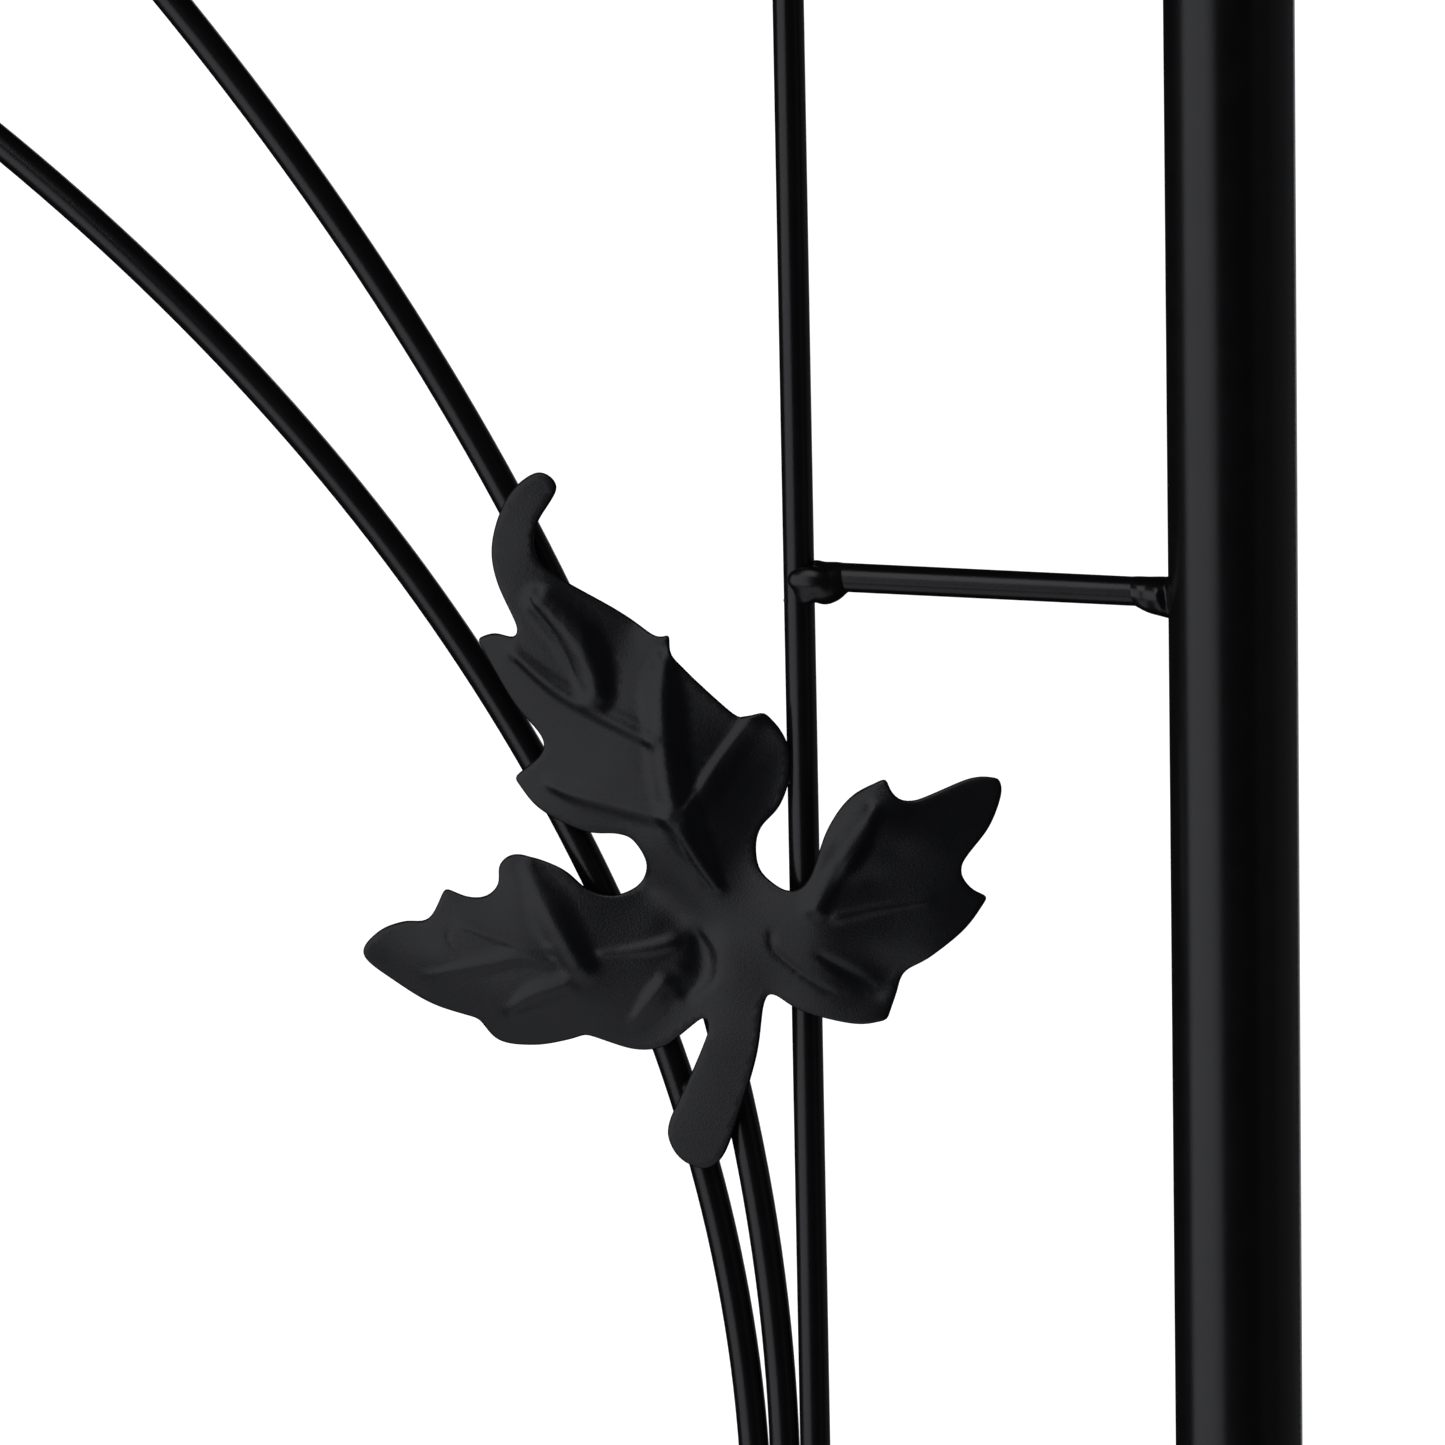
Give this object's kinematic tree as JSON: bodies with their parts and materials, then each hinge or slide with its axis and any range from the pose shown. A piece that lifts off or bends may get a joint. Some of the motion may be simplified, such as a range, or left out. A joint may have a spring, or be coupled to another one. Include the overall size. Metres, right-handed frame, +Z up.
{
  "type": "trellis arch",
  "caption": "Round-topped metal garden arch with open trellis sides, curved vine rods and stamped leaf ornaments, for climbing plants over a path.",
  "frame": {"origin": "on the ground, in the middle of the path and of the arch's depth", "axes": "+Z up; the path runs along Y with the front at -Y; +X is the right side seen from the front"},
  "size_m": [1.44, 0.657, 2.2523],
  "materials": {
    "frame_tube": "satin black powder coat",
    "trellis_rod": "satin black powder coat",
    "leaf": "satin black powder coat on stamped sheet",
    "foot_plate": "satin black powder coat",
    "screw": "black oxide steel"
  },
  "bodies": {
    "root": {"front_crown_plug": "frame_tube", "rear_crown_plug": "frame_tube", "left_rail_1": "trellis_rod", "left_rail_2": "trellis_rod", "left_rail_3": "trellis_rod", "left_rail_4": "trellis_rod", "left_rung_1": "trellis_rod", "left_rung_2": "trellis_rod", "left_rung_3": "trellis_rod", "left_front_post": "frame_tube", "left_front_hoop": "frame_tube", "left_front_foot_plate": "foot_plate", "left_front_upright": "trellis_rod", "left_front_spacer": "trellis_rod", "left_front_high_vine": "trellis_rod", "left_front_low_vine": "trellis_rod", "left_front_roof_rod": "trellis_rod", "left_front_leaf": "leaf", "left_front_post_screw": "screw", "left_front_crown_screw": "screw", "left_rear_post": "frame_tube", "left_rear_hoop": "frame_tube", "left_rear_foot_plate": "foot_plate", "left_rear_upright": "trellis_rod", "left_rear_spacer": "trellis_rod", "left_rear_high_vine": "trellis_rod", "left_rear_low_vine": "trellis_rod", "left_rear_roof_rod": "trellis_rod", "left_rear_leaf": "leaf", "left_rear_post_screw": "screw", "left_rear_crown_screw": "screw", "right_rail_1": "trellis_rod", "right_rail_2": "trellis_rod", "right_rail_3": "trellis_rod", "right_rail_4": "trellis_rod", "right_rung_1": "trellis_rod", "right_rung_2": "trellis_rod", "right_rung_3": "trellis_rod", "right_front_post": "frame_tube", "right_front_hoop": "frame_tube", "right_front_foot_plate": "foot_plate", "right_front_upright": "trellis_rod", "right_front_spacer": "trellis_rod", "right_front_high_vine": "trellis_rod", "right_front_low_vine": "trellis_rod", "right_front_roof_rod": "trellis_rod", "right_front_leaf": "leaf", "right_front_post_screw": "screw", "right_front_crown_screw": "screw", "right_rear_post": "frame_tube", "right_rear_hoop": "frame_tube", "right_rear_foot_plate": "foot_plate", "right_rear_upright": "trellis_rod", "right_rear_spacer": "trellis_rod", "right_rear_high_vine": "trellis_rod", "right_rear_low_vine": "trellis_rod", "right_rear_roof_rod": "trellis_rod", "right_rear_leaf": "leaf", "right_rear_post_screw": "screw", "right_rear_crown_screw": "screw"}
  },
  "joints": []
}
